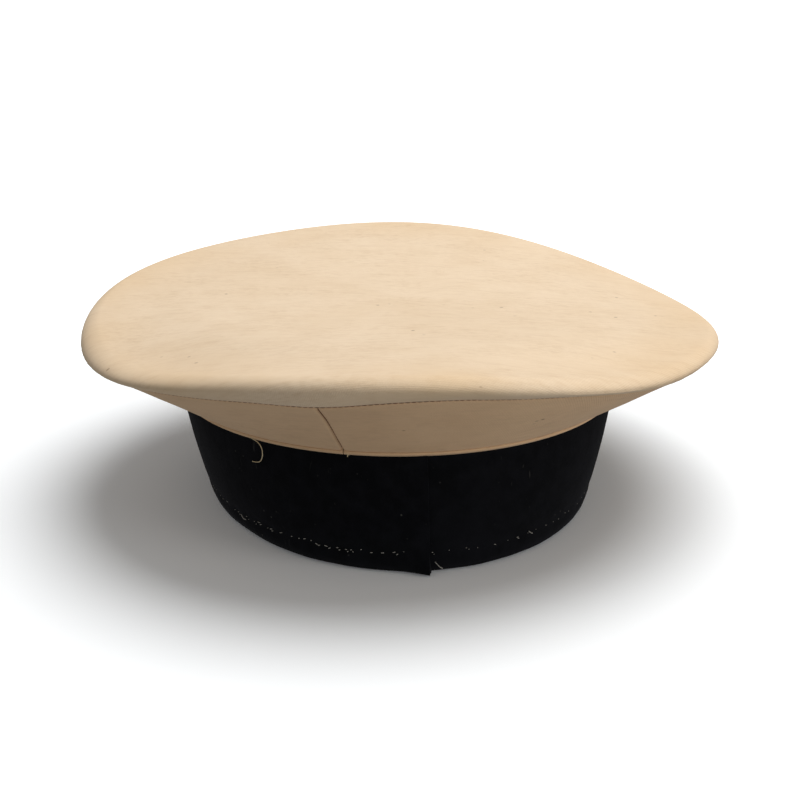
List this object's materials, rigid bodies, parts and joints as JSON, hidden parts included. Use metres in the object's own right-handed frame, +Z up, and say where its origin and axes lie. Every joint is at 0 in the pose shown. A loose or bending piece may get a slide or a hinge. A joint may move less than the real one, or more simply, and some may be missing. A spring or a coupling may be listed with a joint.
{
  "type": "sailor cap",
  "caption": "Flat round sailor's cap: a wide pale cotton crown, sprung out of level by a hoop inside it, on a deep dark wool band.",
  "frame": {"origin": "on the surface that the rim of the band stands on, under the middle of the crown", "axes": "+Z up through the crown, +Y to the wearer's front along the long axis of the head opening, +X to the wearer's right; the joins of the band and of the sweatband are at the back, towards -Y"},
  "size_m": [0.2834, 0.2834, 0.0974],
  "materials": {
    "drill": "pale beige cotton drill, matt, fine twill",
    "wool": "near-black navy wool melton, matt and felted",
    "tape": "plain woven cotton tape, matt",
    "lining": "plain woven cotton lining, slight sheen",
    "wadding": "soft cotton wadding, matt",
    "buckram": "sized open-weave buckram, stiff and matt",
    "felt": "grey needled felt, matt",
    "sweatband_leather": "brown skiver leather, satin",
    "spring_steel": "drawn spring wire, lightly dulled",
    "brown_thread": "brown cotton sewing thread",
    "grey_thread": "grey cotton basting thread"
  },
  "bodies": {
    "root": {"crown_top": "drill", "quarter_back": "drill", "quarter_right": "drill", "quarter_front": "drill", "quarter_left": "drill", "seam_stay_back": "tape", "seam_stay_right": "tape", "seam_stay_front": "tape", "seam_stay_left": "tape", "top_interlining": "wadding", "top_lining": "lining", "side_lining": "lining", "hoop_wire": "spring_steel", "hoop_joiner": "spring_steel", "hoop_padding": "felt", "cap_band": "wool", "band_stiffener": "buckram", "sweatband": "sweatband_leather", "sweatband_join_patch": "tape", "crown_seam_thread": "brown_thread", "hem_thread": "grey_thread"}
  },
  "joints": []
}
